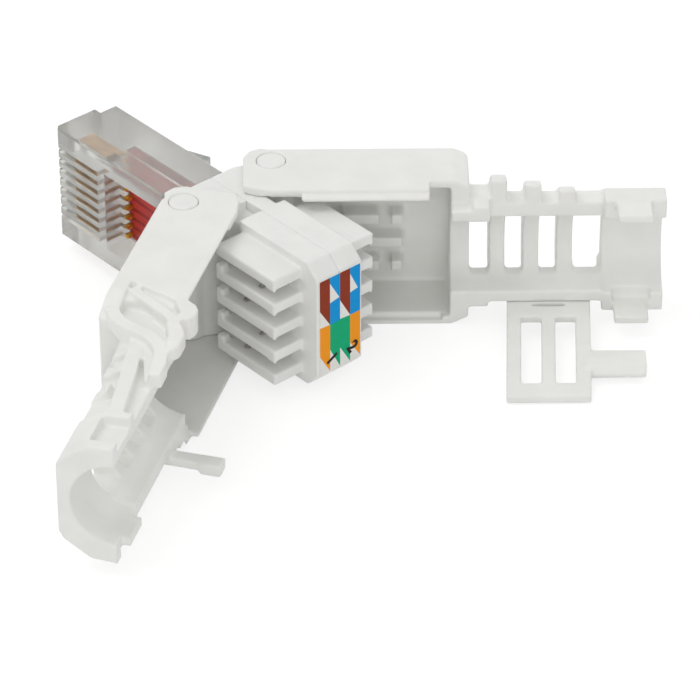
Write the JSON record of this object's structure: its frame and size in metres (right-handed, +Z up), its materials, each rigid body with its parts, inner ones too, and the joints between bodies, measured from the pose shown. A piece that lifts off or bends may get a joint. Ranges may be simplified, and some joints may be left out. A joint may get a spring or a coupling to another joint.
{
  "type": "field termination ethernet plug",
  "caption": "Clear plug nose with gold contacts, a white wire terminal block behind it and two hinged white covers with ribbed boot halves standing open.",
  "frame": {"origin": "on the face the plug stands on, where the line through both cover hinges crosses the seam between the two halves of the terminal block", "axes": "-X towards the nose that enters the jack, +X along the cable, -Y the side of the contacts, +Y the side of the latch, +Z up as it stands on its narrow side"},
  "size_m": [0.0525, 0.0664, 0.0145],
  "materials": {
    "white_plastic": "fine satin moulded nylon",
    "block_plastic": "satin moulded plastic",
    "clear_plastic": "clear polycarbonate",
    "contact_gold": "gold plated",
    "terminal_metal": "tinned",
    "circuit_board": "red solder mask",
    "label": "printed with fields of colour"
  },
  "bodies": {
    "base": {"plug_housing": "clear_plastic", "circuit_board": "circuit_board", "contact_blade_1": "contact_gold", "contact_blade_2": "contact_gold", "contact_blade_3": "contact_gold", "contact_blade_4": "contact_gold", "contact_blade_5": "contact_gold", "contact_blade_6": "contact_gold", "contact_blade_7": "contact_gold", "contact_blade_8": "contact_gold", "idc_block_contact_side": "block_plastic", "idc_block_latch_side": "block_plastic", "idc_terminal_1": "terminal_metal", "idc_terminal_2": "terminal_metal", "idc_terminal_3": "terminal_metal", "idc_terminal_4": "terminal_metal", "idc_terminal_5": "terminal_metal", "idc_terminal_6": "terminal_metal", "idc_terminal_7": "terminal_metal", "idc_terminal_8": "terminal_metal", "wiring_label": "label"},
    "latch": {"latch_lever": "clear_plastic"},
    "contact_side_cover": {"cover_contact_side": "white_plastic"},
    "latch_side_cover": {"cover_latch_side": "white_plastic"},
    "strap": {"cable_strap": "white_plastic"}
  },
  "joints": [
    {"name": "contact_side_hinge", "type": "hinge", "parent": "base", "child": "contact_side_cover", "pos_m": [0, -0.00508, 0.00725], "axis": [0, 0, 1], "range_deg": [-30, 57.3]},
    {"name": "latch_side_hinge", "type": "hinge", "parent": "base", "child": "latch_side_cover", "pos_m": [0, 0.00508, 0.00725], "axis": [0, 0, -1], "range_deg": [-35, 49.25]},
    {"name": "strap_bend", "type": "hinge", "parent": "latch_side_cover", "child": "strap", "pos_m": [0.01962, 0.02098, 0.00235], "axis": [0.6528, 0.7576, 0], "range_deg": [-2, 30], "stiffness_Nm_per_rad": 0.002},
    {"name": "latch_flex", "type": "hinge", "parent": "base", "child": "latch", "pos_m": [-0.0173, 0.00263, 0.00725], "axis": [0, 0, -1], "range_deg": [0, 12], "stiffness_Nm_per_rad": 0.02}
  ]
}
